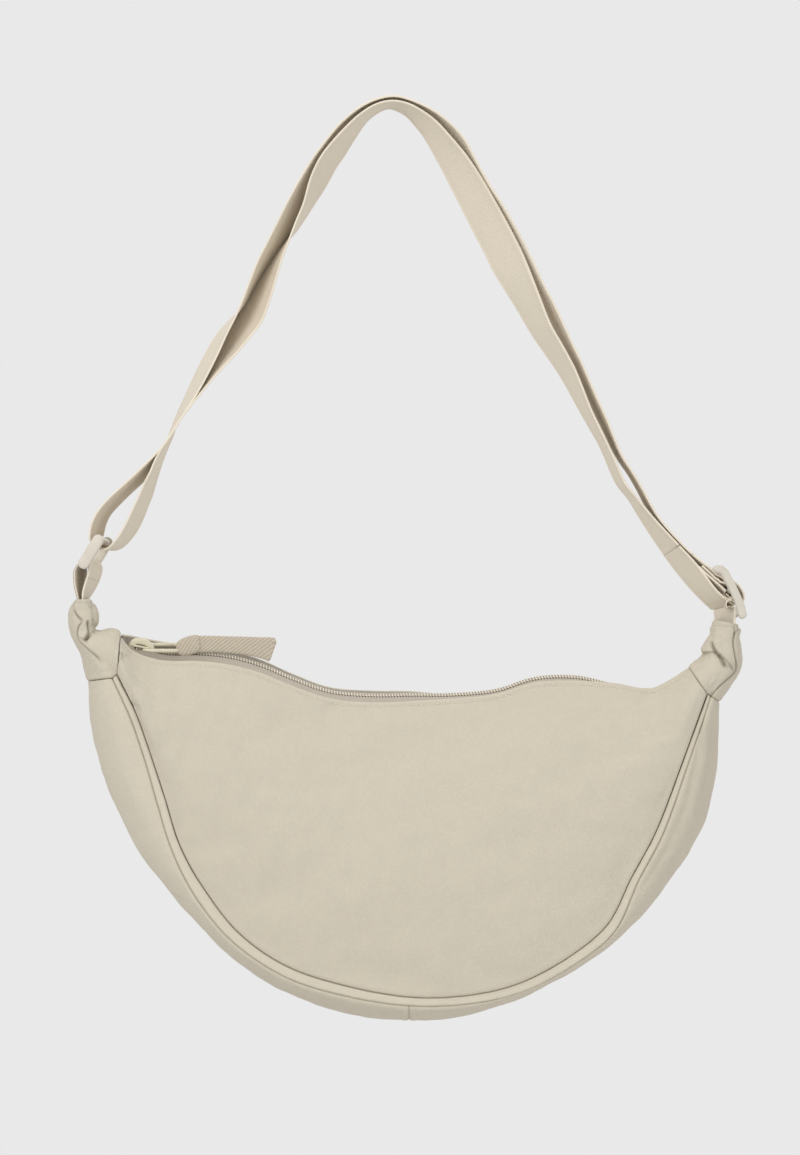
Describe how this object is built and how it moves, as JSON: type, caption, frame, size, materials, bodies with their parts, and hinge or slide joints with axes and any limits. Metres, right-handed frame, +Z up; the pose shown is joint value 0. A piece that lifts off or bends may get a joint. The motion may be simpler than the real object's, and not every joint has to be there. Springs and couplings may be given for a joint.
{
  "type": "half moon bag",
  "caption": "Half moon shaped fabric sling bag with a zipped top, gathered end tabs and a doubled webbing shoulder strap that runs through a ring and a slide adjuster.",
  "frame": {"origin": "middle of the underside of the strap at its highest place, where the strap rests on a hook, a hand or a shoulder", "axes": "+X to the right seen from the front, -Y out of the bag's front face, +Z up"},
  "size_m": [0.4291, 0.0864, 0.5839],
  "materials": {
    "shell": "satin padded nylon",
    "seam": "raised stitched channel",
    "lining": "plain lining",
    "zip_tape": "ribbed tape",
    "zip_coil": "coil",
    "zip_stops": "crimped",
    "zip_pull": "semi-gloss cream paint",
    "pull_webbing": "herringbone webbing",
    "webbing": "ribbed webbing",
    "buckle": "moulded, fine grain"
  },
  "bodies": {
    "strap": {"strap_webbing": "webbing", "strap_slack": "webbing", "strap_tail": "webbing", "tab_loop": "webbing"},
    "ring": {"strap_ring": "buckle"},
    "adjuster": {"slide_adjuster": "buckle", "strap_sewn_end": "webbing"},
    "bag": {"front_panel": "shell", "back_panel": "shell", "front_seam": "seam", "back_seam": "seam", "gusset_left": "shell", "gusset_right": "shell", "lining_front": "lining", "lining_back": "lining", "zip_tape_front": "zip_tape", "zip_tape_back": "zip_tape", "zip_coil_front": "zip_coil", "zip_coil_back": "zip_coil", "zip_stops": "zip_stops", "end_tab_left": "shell", "end_tab_right": "shell"},
    "slider": {"zip_slider": "zip_pull"},
    "wire": {"pull_ring": "zip_pull"},
    "pull": {"pull_tab": "pull_webbing"}
  },
  "joints": [
    {"name": "bag_swing", "type": "hinge", "parent": "strap", "child": "bag", "pos_m": [-0.1939, 0, -0.31272], "axis": [0.9995, 0, -0.0312], "range_deg": [-35, 5], "deforming": ["tab_loop", "strap_tail"]},
    {"name": "ring_tilt", "type": "hinge", "parent": "strap", "child": "ring", "pos_m": [-0.1803, 0, -0.27937], "axis": [0.1569, 0.9781, -0.1364], "range_deg": [0, 8], "deforming": ["tab_loop"]},
    {"name": "adjuster_slide", "type": "slide", "parent": "strap", "child": "adjuster", "axis": [-0.5, 0, 0.866], "range_m": [0, 0.012], "deforming": ["strap_slack", "strap_tail"]},
    {"name": "zip_slide", "type": "hinge", "parent": "bag", "child": "slider", "pos_m": [0.0381, 0, 0.37466], "axis": [0, -1, 0], "range_deg": [0, 20], "deforming": ["zip_tape_front", "zip_tape_back", "zip_coil_front", "zip_coil_back"]},
    {"name": "pull_ring_turn", "type": "hinge", "parent": "slider", "child": "wire", "pos_m": [-0.15692, 0, -0.33889], "axis": [0, -1, 0], "range_deg": [0, 60]},
    {"name": "pull_tab_turn", "type": "hinge", "parent": "wire", "child": "pull", "pos_m": [-0.13424, 0, -0.34268], "axis": [0, -1, 0], "range_deg": [0, 30]}
  ]
}
